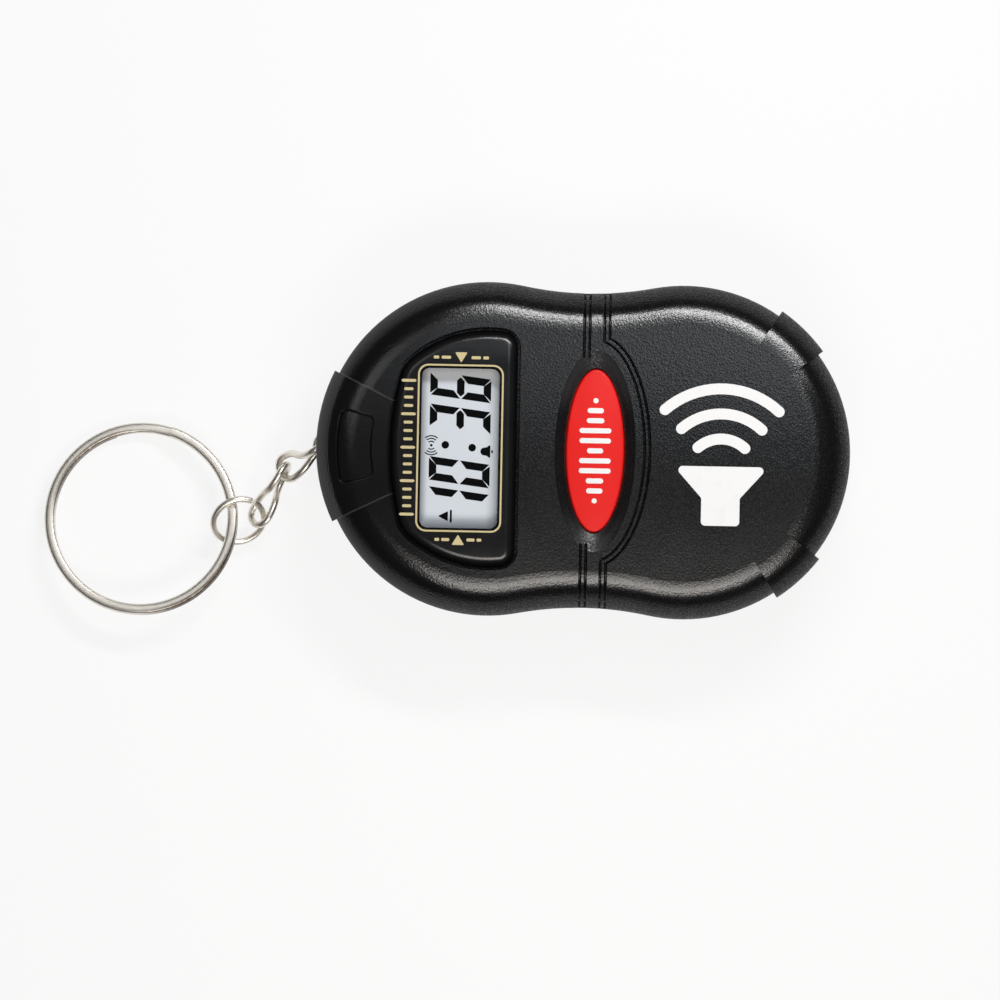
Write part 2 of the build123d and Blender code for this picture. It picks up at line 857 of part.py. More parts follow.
# Rest pose of the chain: compass angle, elevation, roll and twist of each piece
staple_hook_angle = -6.0
middle_azimuth = 213.0
middle_elevation = -37.0
middle_roll = -86.0
middle_twist = 92.0
end_azimuth = 242.5
end_elevation = 0.0
end_roll = 102.0
end_twist = 120.0
jump_azimuth = 187.5
jump_elevation = 9.5
jump_roll = -35.0
ring_azimuth = 178.5
ring_elevation = -4.0
ring_roll = 8.5


def hooked(apex, parent, child, reach):
    """Near apex of a child that hangs inside its parent's end: reach back along the bisector."""
    return apex - (parent + child).normalized() * reach


def chain_pose():
    """Rest pose of the chain pieces, each one hung in the end of the piece before it."""
    pose = {}
    turn = radians(staple_hook_angle)
    out = Vector(-cos(turn), sin(turn), 0)
    bow = Vector(left_end - staple_reach + staple_bow_radius, 0, parting_height)
    hook = bow + out * staple_bow_radius
    pose["staple"] = (hook, Vector(sin(turn), cos(turn), 0))
    run = link_length - link_wire

    axis = heading(middle_azimuth, middle_elevation)
    near = hooked(hook, out, axis, (staple_wire + link_wire) / 2 + chain_slack)
    side = sideways(axis, middle_roll)
    far_side = side.rotate(Axis((0, 0, 0), axis), middle_twist)
    pose["middle"] = (near, axis, side, far_side, near + axis * run)

    parent = axis
    axis = heading(end_azimuth, end_elevation)
    near = hooked(pose["middle"][4], parent, axis, link_wire + chain_slack)
    side = sideways(axis, end_roll)
    far_side = side.rotate(Axis((0, 0, 0), axis), end_twist)
    pose["end"] = (near, axis, side, far_side, near + axis * run)

    parent = axis
    axis = heading(jump_azimuth, jump_elevation)
    near = hooked(pose["end"][4], parent, axis, (link_wire + jump_wire) / 2 + chain_slack)
    side = sideways(axis, jump_roll)
    pose["jump"] = (near, axis, side, side, near + axis * 2 * jump_radius)

    parent = axis
    axis = heading(ring_azimuth, ring_elevation)
    near = hooked(pose["jump"][4], parent, axis, (jump_wire + split_wire_width) / 2 + ring_slack)
    side = sideways(axis, ring_roll)
    pose["ring"] = (near, axis, side, side, near + axis * 2 * split_ring_radius)
    return pose


def chain_link(name):
    """Twisted wire link: two round ends in turned planes, joined by two S-shaped strands."""
    near, axis, side, far_side, far = chain_pose()[name]
    bend = link_bend_radius
    near_center = near + axis * bend
    far_center = far - axis * bend

    def half(start, end, apex, close, tangent):
        """One strand from start to end, then the round end through its apex to close."""
        middle = (start + end) * 0.5
        first = TangentArc(start, middle, tangent=tangent)
        second = TangentArc(middle, end, tangent=first % 1)
        return wire([first, second, ThreePointArc(end, apex, close)], link_wire)

    near_left = near_center + side * bend
    near_right = near_center - side * bend
    far_left = far_center + far_side * bend
    far_right = far_center - far_side * bend
    outward = half(near_left, far_left, far, far_right, axis)
    return outward + half(far_right, near_right, near, near_left, axis * -1)


def ring_plane(name):
    """Plane of a ring: origin at its centre, X towards its near apex."""
    near, axis, side, _, far = chain_pose()[name]
    normal = axis.cross(side)
    if normal.Z < 0:
        normal = normal * -1
    return Plane(origin=(near + far) * 0.5, x_dir=axis * -1, z_dir=normal)


def jump_ring():
    """Open wire ring between the last link and the split ring."""
    section = Pos(jump_radius, 0, 0) * Rot(90, 0, 0) * Circle(jump_wire / 2)
    ring = revolve(section, Axis.Z, 360 - jump_cut_angle)
    return ring_plane("jump") * Rot(0, 0, jump_cut_turn) * ring


def split_ring():
    """Key ring of flat wire wound nearly twice round."""
    pitch = split_wire_height + split_turn_gap
    height = pitch * split_turns
    path = Helix(pitch=pitch, height=height, radius=split_ring_radius)
    section = Plane(origin=path @ 0, x_dir=(1, 0, 0), z_dir=path % 0)
    section = section * RectangleRounded(split_wire_width, split_wire_height, split_wire_round)
    ring = sweep(section, path=path, is_frenet=True)
    return ring_plane("ring") * Rot(0, 0, split_end_turn) * Pos(0, 0, -height / 2) * ring


pieces = {
    "front_shell": front_shell,
    "rear_shell": rear_shell,
    "display_bezel": display_bezel,
    "display_lens": display_lens,
    "lcd_panel": lcd_panel,
    "lcd_carrier": lcd_carrier,
    "zebra_strips": zebra_strips,
    "circuit_board": circuit_board,
    "chip_blob": chip_blob,
    "quartz_crystal": quartz_crystal,
    "talk_button": talk_button,
    "talk_dome": talk_dome,
    "mode_button": lambda: set_button(1),
    "set_button": lambda: set_button(-1),
    "set_switches": set_switches,
    "speaker_frame": speaker_frame,
    "speaker_magnet": speaker_magnet,
    "speaker_cone": speaker_cone,
    "speaker_leads": speaker_leads,
    "battery_cells": battery_cells,
    "battery_contacts": battery_contacts,
    "battery_bridge": battery_bridge,
    "battery_door": battery_door,
    "door_screw": door_screw,
    "case_screws": case_screws,
    "board_screws": board_screws,
    "chain_staple": chain_staple,
    "middle_link": lambda: chain_link("middle"),
    "end_link": lambda: chain_link("end"),
    "jump_ring": jump_ring,
    "split_ring": split_ring,
}

if __name__ == "__main__":
    os.makedirs("parts", exist_ok=True)
    for node, make in pieces.items():
        export_step(make(), f"parts/{node}.step")
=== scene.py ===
import bmesh
import bpy
import json
from math import ceil, cos, pi, radians, sin
from mathutils import Matrix, Vector


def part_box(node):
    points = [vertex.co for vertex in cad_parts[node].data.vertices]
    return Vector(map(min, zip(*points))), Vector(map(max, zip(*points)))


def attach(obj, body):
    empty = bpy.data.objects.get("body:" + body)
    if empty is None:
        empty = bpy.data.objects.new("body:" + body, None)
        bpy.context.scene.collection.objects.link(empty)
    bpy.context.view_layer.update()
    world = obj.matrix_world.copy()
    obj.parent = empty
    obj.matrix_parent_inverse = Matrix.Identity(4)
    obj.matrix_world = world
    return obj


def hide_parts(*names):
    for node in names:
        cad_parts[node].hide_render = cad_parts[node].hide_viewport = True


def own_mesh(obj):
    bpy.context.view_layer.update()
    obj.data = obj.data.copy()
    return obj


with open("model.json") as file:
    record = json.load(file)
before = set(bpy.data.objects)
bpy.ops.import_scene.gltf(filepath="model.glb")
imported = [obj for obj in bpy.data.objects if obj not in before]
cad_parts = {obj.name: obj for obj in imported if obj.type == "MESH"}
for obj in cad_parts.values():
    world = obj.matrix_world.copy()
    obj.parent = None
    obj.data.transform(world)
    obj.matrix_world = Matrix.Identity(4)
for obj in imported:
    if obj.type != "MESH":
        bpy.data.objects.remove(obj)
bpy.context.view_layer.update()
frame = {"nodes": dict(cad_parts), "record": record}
nodes = frame["nodes"]
scene = bpy.context.scene

# Sizes are in millimetres and turned to metres where they are used.
# A span is a pair of sizes between which a finish changes softly.
MM = 0.001
film = 0.025
weld = 0.001
corner_signs = ((-1, -1), (1, -1), (1, 1), (-1, 1))

# The face rises very slightly to a crown along its middle line, and its rim is rolled
crown_reach = 32.0
crown_height = 1.0
rim_swell = 1.3
rim_ease = 0.09
roll_span = (10.0, 15.0)
ease_span = (15.4, 16.0)

# Heights on the case: the dull lower side, the edges with a painted highlight, the cut lines, the
# rubbed rim
side_dull_span = (8.5, 11.5)
edge_highlight_span = (8.0, 11.0)
cut_span = (9.5, 9.8)
rim_start_span = (14.0, 15.2)
rim_end_span = (15.85, 15.98)

# The leather grain, calmer towards the left end and the lower edge of the face
grain_depth = 0.05
grain_strength = 0.76
calm_left_span = (12.0, 22.0)
calm_low_span = (0.0, 10.0)
calm_low_share = 0.8
calm_grain_share = 0.55

# The raised band at the left end: its edges point at the left lobe's centre and carry a painted
# highlight
lobe_x = 11.7
band_half_angle = radians(26)
band_inner_x = -21.0
edge_highlight_width = (0.04, 0.16)

# The shallow recess in the band, with a fine rut along its edge
recess_half_angle = radians(14.5)
recess_inner_radius = 14.0
recess_outer_radius = 18.1
recess_corner = 0.8
rut_half_width = 0.16
rut_depth = 0.06

# The dish round the talk button, duller towards both of its ends
dish_half_width = 4.85
dish_half_length = 12.1
dish_edge = (0.97, 1.03)
dish_floor_span = (13.8, 14.8)
dish_upper_span = (3.0, 9.0)
dish_upper_dull = 0.4
dish_lower_span = (6.0, 9.0)
dish_lower_dull = 0.12

# The grooves: each has a fine V-shaped line along both sides
groove_spread = 1.2
groove_ring_half_width = 6.25
groove_ring_half_length = 13.5
groove_straight_y = 13.25
groove_left_y = 11.1
groove_half = 0.475
groove_line_offset = 0.325
groove_line_half = 0.2
groove_line_depth = 0.11
groove_clear_span = (0.13, 0.24)

# The split ring's wire: where its middle line runs, how round its flat side looks,
# and where painted shade darkens it in place of dark reflections on its walls
ring_centre = (-53.267, -9.169, 3.003)
ring_axis = (-0.0651, 0.1496, 0.9866)
ring_radius = 11.05
wire_crown = 1.8
ring_shade_angle = radians(-45)
ring_shade_outside_span = (-0.1, 0.4)
ring_shade_inside_span = (-0.1, 0.3)

# Places on the clock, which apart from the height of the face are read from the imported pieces
bezel_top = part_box("display_bezel")[1][2] / MM
lcd_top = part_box("lcd_panel")[1][2] / MM
face_top = 16.0
lens_low, lens_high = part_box("display_lens")
display_x = (lens_low[0] + lens_high[0]) / 2 / MM
button_low, button_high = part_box("talk_button")
button_x = (button_low[0] + button_high[0]) / 2 / MM
button_top = button_high[2] / MM

# Display window and the gold line round it
window_half_width = 4.92
window_half_length = 9.82
window_corner = 1.05
gold_line = 0.21

# Painted shade along three edges of the display glass and painted light at its upper edge,
# measured from its middle
lcd_left_shade_span = (3.6, 5.0)
lcd_low_shade_span = (8.0, 10.0)
lcd_right_shade_span = (4.6, 5.0)
lcd_high_light_span = (7.6, 9.0)

# Time on the display: digit cells across, each as high and wide as the others
clock_digits = ((-6.47, "1"), (-2.86, "0"), (3.42, "3"), (7.33, "6"))
digit_height = 7.3
digit_width = 2.82
digit_slant = 0.127
segment_stroke = 0.90
segment_gap = 0.20
stand_gap_share = 0.8
# Shares of a bar's stroke: what mitred ends take off its short side, how far a middle bar
# is shorter than its digit, and how much its points cut
mitre_share = 1.7
middle_short_share = 0.7
middle_point_share = 0.42

# Signs on the display, placed along and up the reading direction from its middle
colon_dots = ((0.38, 1.72), (0.10, -1.50))
colon_dot = 0.455
sound_place = (0.3, 3.4)
sound_dot = 0.16
sound_radii = (0.48, 0.82, 1.14)
sound_stroke = 0.13
sound_half_angle = radians(38)
bell_crown = (-0.33, -2.95, 0.46)
bell_crown_angles = (radians(10), radians(170))
bell_skirt = (
    (-0.84, -3.25), (-1.08, -3.55), (-1.02, -3.68), (0.36, -3.68), (0.42, -3.55), (0.18, -3.25),
)
bell_clapper = (-0.33, -3.8, 0.2)
half_day_arrow = ((-8.75, 1.25), (-7.55, 1.25), (-8.15, 2.45))
half_day_corner = 0.06
half_day_bar = (-8.15, 0.9, 1.5, 0.24, 0.08)

# The bezel is flat along its middle and falls away a little towards both ends
bezel_flat_half = 10.0
bezel_end_radius = 26.0

# Marks printed in gold on the bezel: a row of ticks, and pointers between pairs of dashes
tick_row_x = -21.3
tick_row_length = 16.0
tick_count = 17
tick_length = 1.1
tick_stroke = 0.34
tick_corner_share = 0.3
tick_group = 4.0
long_tick_extra = 0.6
pointer_rows = ((10.85, 6.6, 1), (-10.95, 5.6, -1))
pointer_half_width = 0.75
pointer_half_height = 0.62
pointer_corner = 0.08
# Place and length of each dash, as shares of its row's width
dash_shares = ((0.27, 0.17), (0.45, 0.10))
dash_stroke = 0.36
dash_corner = 0.12

# White bars on the talk button
bar_count = 11
bar_pitch = 1.2
bar_stroke = 0.62
bar_tallest = 4.3
bar_swells = 3.0
bar_swing = 0.55
bar_fade = 0.45
bar_end_points = 18
bar_cuts = 3
wrap_clearance = 1.0

# White horn with sound arcs on the face
horn_x = 16.2
horn_outline = ((-8.7, -2.3), (-5.4, -2.3), (-1.6, -5.7), (-1.6, 5.7), (-5.4, 2.3), (-8.7, 2.3))
horn_corner = 0.5
horn_arc_place = (-2.5, 0.0)
horn_arc_radii = (4.2, 7.2, 10.2)
horn_arc_stroke = 1.3
horn_arc_half_angle = radians(42)

# Rubber dome under the talk button
dome_crown_radius = 2.0
dome_crown_edge = 0.25
dome_crown_ease = 0.07
dome_skirt_steps = (0.3, 0.5, 0.7, 0.85)
dome_skirt_draw = 1.6
dome_skirt_inset = 0.5
dome_foot_height = 0.3
dome_foot_edge = 0.1
dome_side_wall = 0.7
dome_crown_wall = 0.6
dome_steps = 48


class Value:
    """A socket that takes part in Python sums: each operator adds one Math node."""

    def __init__(self, owner, socket):
        self.owner = owner
        self.socket = socket

    def math(self, operation, *others):
        return self.owner.node("ShaderNodeMath", {"operation": operation}, [self, *others])

    def __add__(self, other):
        return self.math("ADD", other)

    def __radd__(self, other):
        return self.math("ADD", other)

    def __sub__(self, other):
        return self.math("SUBTRACT", other)

    def __rsub__(self, other):
        return self.owner.node("ShaderNodeMath", {"operation": "SUBTRACT"}, [other, self])

    def __mul__(self, other):
        return self.math("MULTIPLY", other)

    def __rmul__(self, other):
        return self.math("MULTIPLY", other)

    def __truediv__(self, other):
        return self.math("DIVIDE", other)

    def __rtruediv__(self, other):
        return self.owner.node("ShaderNodeMath", {"operation": "DIVIDE"}, [other, self])

    def __gt__(self, other):
        return self.math("GREATER_THAN", other)

    def __lt__(self, other):
        return self.math("LESS_THAN", other)

    def __abs__(self):
        return self.math("ABSOLUTE")

    def most(self, other):
        return self.math("MAXIMUM", other)

    def least(self, other):
        return self.math("MINIMUM", other)

    def root(self):
        return self.math("SQRT")

    def smooth(self, low, high):
        """0 below low, 1 above high, with a soft step between."""
        settings = {"interpolation_type": "SMOOTHSTEP"}
        inputs = {"Value": self, "From Min": low, "From Max": high}
        return self.owner.node("ShaderNodeMapRange", settings, inputs)

    def across(self, span):
        """The same soft step for a length in metres, across a span in millimetres."""
        low, high = span
        return self.smooth(low * MM, high * MM)


class Tree:
    """A node tree that grows by one call a node."""

    def __init__(self, tree):
        self.tree = tree

    def node(self, kind, settings=None, inputs=(), output=0):
        """Adds a node: settings first, then the values or links of its sockets."""
        made = self.tree.nodes.new(kind)
        for key, value in (settings or {}).items():
            setattr(made, key, value)
        pairs = inputs.items() if isinstance(inputs, dict) else enumerate(inputs)
        for key, value in pairs:
            if isinstance(value, Value):
                self.tree.links.new(value.socket, made.inputs[key])
            else:
                made.inputs[key].default_value = value
        return Value(self, made.outputs[output])

    def parts(self, vector):
        """X, Y and Z of a vector as three values."""
        outputs = self.node("ShaderNodeSeparateXYZ", None, [vector]).socket.node.outputs
        return [Value(self, socket) for socket in outputs]

    def blend(self, factor, low, high):
        """Colour between low and high."""
        low, high = (tone if isinstance(tone, Value) else (*tone, 1.0) for tone in (low, high))
        inputs = {0: factor, 6: low, 7: high}
        return self.node("ShaderNodeMix", {"data_type": "RGBA"}, inputs, 2)


class Finish(Tree):
    """A procedural material with one Principled shader."""

    def __init__(self, name, **sockets):
        self.material = bpy.data.materials.new(name)
        self.material.use_nodes = True
        super().__init__(self.material.node_tree)
        self.shader = self.tree.nodes["Principled BSDF"]
        for socket, value in sockets.items():
            self.shader.inputs[socket.replace("_", " ")].default_value = value
        self.place = self.node("ShaderNodeTexCoord", output="Object")

    def noise(self, scale, detail=2.0, roughness=0.5, vector=None):
        """Cloudy noise; scale is in features per metre."""
        inputs = {"Scale": scale, "Detail": detail, "Roughness": roughness}
        inputs["Vector"] = vector or self.place
        return self.node("ShaderNodeTexNoise", None, inputs)

    def cells(self, scale):
        """Distance to the nearest of many scattered points, eased between them."""
        inputs = {"Vector": self.place, "Scale": scale}
        return self.node("ShaderNodeTexVoronoi", {"feature": "SMOOTH_F1"}, inputs)

    def stretched(self, x, y, z):
        """Object coordinates scaled by a factor for each axis."""
        return self.node("ShaderNodeMapping", None, {"Vector": self.place, "Scale": (x, y, z)})

    def bump(self, height, depth, strength=1.0, under=None):
        """Normal that follows a height from 0 to 1, on another bump; depth in millimetres."""
        inputs = {"Height": height, "Strength": strength, "Distance": depth * MM}
        if under:
            inputs["Normal"] = under
        return self.node("ShaderNodeBump", None, inputs, "Normal")

    def form(self, height):
        """Normal that follows a height in metres."""
        return self.bump(height, 1 / MM)

    def feed(self, **values):
        """Links values to the shader's sockets."""
        for socket, value in values.items():
            self.tree.links.new(value.socket, self.shader.inputs[socket.replace("_", " ")])
        return self.material


class Pattern(Tree):
    """A Geometry Nodes tree with named sizes, run once and kept as a plain mesh."""

    def __init__(self, name, **sizes):
        super().__init__(bpy.data.node_groups.new(name, "GeometryNodeTree"))
        self.sizes = {}
        interface = self.tree.interface
        interface.new_socket("Points", in_out="INPUT", socket_type="NodeSocketGeometry")
        for key, value in sizes.items():
            kind = "NodeSocketInt" if isinstance(value, int) else "NodeSocketFloat"
            socket = interface.new_socket(key, in_out="INPUT", socket_type=kind)
            self.sizes[socket.identifier] = value
        interface.new_socket("Mesh", in_out="OUTPUT", socket_type="NodeSocketGeometry")
        self.start = self.tree.nodes.new("NodeGroupInput")
        self.end = self.tree.nodes.new("NodeGroupOutput")

    def size(self, key):
        return Value(self, self.start.outputs[key])

    def vector(self, x=0.0, y=0.0, z=0.0):
        return self.node("ShaderNodeCombineXYZ", None, [x, y, z])

    def keep(self, geometry, name, value):
        """Stores a value on points by name."""
        settings = {"data_type": "FLOAT", "domain": "POINT"}
        inputs = {"Geometry": geometry, "Name": name, "Value": value}
        return self.node("GeometryNodeStoreNamedAttribute", settings, inputs)

    def kept(self, name):
        """A value that points carry by name."""
        return self.node("GeometryNodeInputNamedAttribute", None, {"Name": name})

    def bar(self, length, stroke, corner):
        """Flat bar along X with its corners cut by one straight edge each."""
        inputs = {"Width": length, "Height": stroke}
        outline = self.node("GeometryNodeCurvePrimitiveQuadrilateral", None, inputs)
        inputs = {"Curve": outline, "Count": 1, "Radius": corner}
        cut = self.node("GeometryNodeFilletCurve", {"mode": "POLY"}, inputs)
        return self.node("GeometryNodeFillCurve", None, [cut])

    def trapezoid(self, long, short, stroke):
        """Flat bar along X that narrows upwards from its long side to its short side."""
        settings = {"mode": "TRAPEZOID"}
        inputs = {"Height": stroke, "Bottom Width": long, "Top Width": short, "Offset": 0.0}
        outline = self.node("GeometryNodeCurvePrimitiveQuadrilateral", settings, inputs)
        return self.node("GeometryNodeFillCurve", None, [outline])

    def make(self, geometry, material, points=()):
        """Runs the tree on points, each with a turn, and returns its mesh in millimetres."""
        joined = self.node("GeometryNodeRealizeInstances", None, [geometry])
        inputs = {"Geometry": joined, "Material": material}
        done = self.node("GeometryNodeSetMaterial", None, inputs)
        self.tree.links.new(done.socket, self.end.inputs["Mesh"])
        cloud = bpy.data.meshes.new(self.tree.name)
        cloud.from_pydata([(x, y, 0.0) for x, y, _ in points], [], [])
        turns = cloud.attributes.new("turn", "FLOAT", "POINT")
        for spot, (_, _, turn) in zip(turns.data, points):
            spot.value = turn
        host = bpy.data.objects.new(self.tree.name, cloud)
        scene.collection.objects.link(host)
        run = host.modifiers.new(self.tree.name, "NODES")
        run.node_group = self.tree
        for identifier, value in self.sizes.items():
            run[identifier] = value
        mesh = plain_mesh(host)
        bpy.data.objects.remove(host)
        return mesh


def plain_mesh(host):
    """The mesh of an object with its modifiers run."""
    ready = host.evaluated_get(bpy.context.evaluated_depsgraph_get())
    return bpy.data.meshes.new_from_object(ready)


def case_plastic():
    """Black moulded plastic with a fine leather grain that glints where the grain rises."""
    dark, light = (0.0018, 0.0018, 0.0021), (0.012, 0.012, 0.0130)
    # The pale tone is a painted highlight for the edges of the band
    highlight_tone = (0.075, 0.075, 0.078)
    finish = Finish("case_plastic", IOR=1.47, Coat_Roughness=0.30, Coat_IOR=1.5)
    grain = finish.cells(scale=4700.0)
    fine = finish.noise(scale=7000.0)
    cloud = finish.noise(scale=140.0, detail=3.0)
    handled = finish.noise(scale=60.0).smooth(0.35, 0.75)
    x, y, z = finish.parts(finish.place)

    # Specks where the grain rises, and a painted highlight along the edges of the band
    calm = (0 - x).across(calm_left_span)
    speck = (1 - grain).smooth(0.45, 0.9) * fine.smooth(0.4, 0.65) * (1 - calm * 0.9)
    side = (x + lobe_x * MM) * sin(band_half_angle) + abs(y) * cos(band_half_angle)
    edge = (1 - abs(side).across(edge_highlight_width)) * (x < band_inner_x * MM)
    edge_highlight = edge * z.across(edge_highlight_span) * fine.smooth(0.2, 0.6)
    tone = finish.blend(speck * 0.7 + cloud * 0.3, dark, light)
    tone = finish.blend(edge_highlight * 0.7, tone, highlight_tone)

    # Dull low on the sides and at the ends of the dish, smoother on the rim that hands rub
    low = 1 - z.across(side_dull_span)
    dish_x = (x - button_x * MM) / (dish_half_width * MM)
    dish_y = y / (dish_half_length * MM)
    dish = 1 - (dish_x * dish_x + dish_y * dish_y).smooth(*dish_edge)
    upper = y.across(dish_upper_span) * dish_upper_dull
    lower = (0 - y).across(dish_lower_span) * dish_lower_dull
    dull = dish * (upper + lower) * z.across(dish_floor_span)
    groove = groove_side(x, y)
    rubbed = z.across(rim_start_span) * (1 - z.across(rim_end_span)) * (1 - dish)
    rubbed = rubbed * groove.across(groove_clear_span)
    rough = 0.23 + cloud * 0.04 + fine * 0.08 - handled * 0.02
    rough = rough - rubbed * 0.065 - calm * 0.06 + low * 0.45 + dull

    # Crown of the face, roll of the rim, rut of the recess, lines of the grooves, then grain
    crown = finish.bump((y * (pi / (crown_reach * MM))).math("COSINE"), crown_height)
    rolled = 1 - z.across(roll_span) - z.across(ease_span) * rim_ease
    rim = finish.bump(rolled, rim_swell, under=crown)
    front = z.across(cut_span)
    rut = (1 - abs(recess_edge(x, y)).across((0.0, rut_half_width))) * front
    rut = finish.bump(rut, -rut_depth, under=rim)
    lines = (1 - abs(groove).across((0.0, groove_line_half))) * front
    lines = finish.bump(lines, -groove_line_depth, under=rut)
    quiet = rubbed.most(calm).most((0 - y).across(calm_low_span) * calm_low_share)
    height = (grain * 0.75 + fine * 0.25) * (1 - quiet * calm_grain_share)
    normal = finish.bump(height, grain_depth, grain_strength, lines)
    return finish.feed(Base_Color=tone, Roughness=rough, Coat_Weight=speck, Normal=normal)


def recess_edge(x, y):
    """Distance in metres outside the rounded edge of the band's recess, below zero inside it."""
    corner = recess_corner * MM
    x = x + lobe_x * MM
    across = x * sin(recess_half_angle) + abs(y) * cos(recess_half_angle) + corner
    radius = (x * x + y * y).root()
    along = (radius - recess_outer_radius * MM).most(recess_inner_radius * MM - radius) + corner
    beyond_across, beyond_along = across.most(0.0), along.most(0.0)
    beyond = (beyond_across * beyond_across + beyond_along * beyond_along).root()
    return beyond + across.most(along).least(0.0) - corner


def groove_side(x, y):
    """Distance in metres outward from the fine line at the side of the nearest groove.

    A metre is added where a groove does not run, so that it is never the nearest there."""
    x, y = x - button_x * MM, abs(y)
    across = x / (groove_ring_half_width * MM) ** 2
    along = y / (groove_ring_half_length * MM) ** 2
    share = (x * across + y * along).root()
    ring = abs(share - 1) * share / (across * across + along * along).root()
    ring = ring + (x < (groove_spread - groove_half) * MM)
    straight = abs(x - groove_spread * MM)
    right = ring + (straight - ring) * (y > groove_straight_y * MM)
    left = abs(x + groove_spread * MM) + (y < groove_left_y * MM)
    return right.least(left) - groove_line_offset * MM


def bezel_plastic():
    """Gloss black plastic, faintly hazed by handling."""
    dark, light = (0.0030, 0.0030, 0.0034), (0.0060, 0.0060, 0.0066)
    finish = Finish("bezel_plastic", IOR=1.5)
    haze = finish.noise(scale=220.0, detail=4.0, roughness=0.6)
    drawn = finish.stretched(1.0, 0.15, 1.0)
    scuff = finish.noise(scale=900.0, detail=3.0, roughness=0.7, vector=drawn).smooth(0.62, 0.8)
    tone = finish.blend(haze, dark, light)
    rough = 0.20 + haze * 0.10 + scuff * 0.05
    _, y, _ = finish.parts(finish.place)
    beyond = (abs(y) - bezel_flat_half * MM).most(0.0)
    ends = finish.form(beyond * beyond / (-2 * bezel_end_radius * MM))
    return finish.feed(Base_Color=tone, Roughness=rough, Normal=ends)


def clear_lens():
    """Clear pane: nearly see-through, with a sharp gloss and a trace of smear."""
    dark, light = (0.02, 0.022, 0.024), (0.05, 0.052, 0.055)
    finish = Finish("clear_lens", IOR=1.4)
    smear = finish.noise(scale=180.0, detail=3.0)
    tone = finish.blend(smear, dark, light)
    rough, cover = 0.03 + smear * 0.04, 0.020 + smear * 0.015
    return finish.feed(Base_Color=tone, Roughness=rough, Alpha=cover)


def lcd_glass():
    """Pale display with a faint weave, painted shade along three edges and painted light at the
    upper one.
    """
    # The dark tone is painted shade for three edges, and the lightest tone is painted light for
    # the upper edge
    plain, painted_top_light, dark = (0.77, 0.82, 0.88), (0.94, 0.96, 0.98), (0.12, 0.13, 0.15)
    finish = Finish("lcd_glass", IOR=1.4)
    x, y, _ = finish.parts(finish.place)
    # Painted shade along the left, lower and right edges, and painted light at the upper edge
    # where the window casts its shadow
    left = (display_x * MM - x).across(lcd_left_shade_span)
    low = (0 - y).across(lcd_low_shade_span)
    right = (x - display_x * MM).across(lcd_right_shade_span)
    high = y.across(lcd_high_light_span)
    painted_shade = left.most(low) * 0.85 + right * 0.6
    weave = finish.noise(scale=4200.0)
    tone = finish.blend(painted_shade + weave * 0.10, finish.blend(high, plain, painted_top_light), dark)
    return finish.feed(Base_Color=tone, Roughness=0.38 + weave * 0.1)


def red_plastic():
    """Satin red key with a soft mould texture."""
    deep, bright = (0.76, 0.009, 0.007), (0.86, 0.015, 0.011)
    finish = Finish("red_plastic", IOR=1.36)
    grain = finish.noise(scale=5200.0)
    cloud = finish.noise(scale=240.0, detail=3.0)
    tone = finish.blend(cloud, deep, bright)
    normal = finish.bump(grain, depth=0.04, strength=0.14)
    return finish.feed(Base_Color=tone, Roughness=0.36 + grain * 0.12, Normal=normal)


def nickel(name, ring=False):
    """Bright nickel plate with a warm tone, cloudy with fine draw marks; the split ring also gets
    painted shade.
    """
    dark, light, painted_ring_shade = (0.79, 0.74, 0.66), (0.91, 0.87, 0.80), (0.10, 0.075, 0.055)
    finish = Finish(name, Metallic=1.0)
    draw = finish.noise(scale=2600.0, detail=3.0, roughness=0.65)
    cloud = finish.noise(scale=420.0)
    tone = finish.blend(cloud, dark, light)
    form = None
    if ring:
        off, along = ring_wire(finish)
        form = finish.form(off * off / (-2 * wire_crown * MM))
        # Painted shade on the ring's outer side towards the lower right and its inner side
        # towards the upper left, standing for dark reflections on its walls
        outside = along.smooth(0.68, 0.95) * off.across(ring_shade_outside_span)
        inside = (0 - along).smooth(0.70, 0.95) * (0 - off).across(ring_shade_inside_span)
        tone = finish.blend((outside + inside * 0.8) * (draw * 0.6 + 0.6), tone, painted_ring_shade)
    normal = finish.bump(draw, depth=0.03, strength=0.10, under=form)
    return finish.feed(Base_Color=tone, Roughness=0.30 + draw * 0.14, Normal=normal)


def ring_wire(finish):
    """How far a point lies outside the middle line of the split ring's wire, in metres,
    and how far towards the side with painted shade, from -1 to 1."""

    def vector_math(operation, inputs, output):
        return finish.node("ShaderNodeVectorMath", {"operation": operation}, inputs, output)

    centre = tuple(value * MM for value in ring_centre)
    side = (cos(ring_shade_angle), sin(ring_shade_angle), 0.0)
    spoke = vector_math("SUBTRACT", [finish.place, centre], "Vector")
    rise = vector_math("DOT_PRODUCT", [spoke, ring_axis], "Value")
    reach = vector_math("LENGTH", [spoke], "Value")
    along = vector_math("DOT_PRODUCT", [spoke, side], "Value")
    return (reach * reach - rise * rise).root() - ring_radius * MM, along / reach


def gold_print():
    """Gold printing ink with metal flakes."""
    dark, light = (0.52, 0.42, 0.19), (0.78, 0.68, 0.40)
    finish = Finish("gold_print", IOR=1.45)
    grain = finish.noise(scale=7000.0)
    tone = finish.blend(grain, dark, light)
    flakes, rough = 0.15 + grain * 0.25, 0.42 + grain * 0.15
    return finish.feed(Base_Color=tone, Metallic=flakes, Roughness=rough)


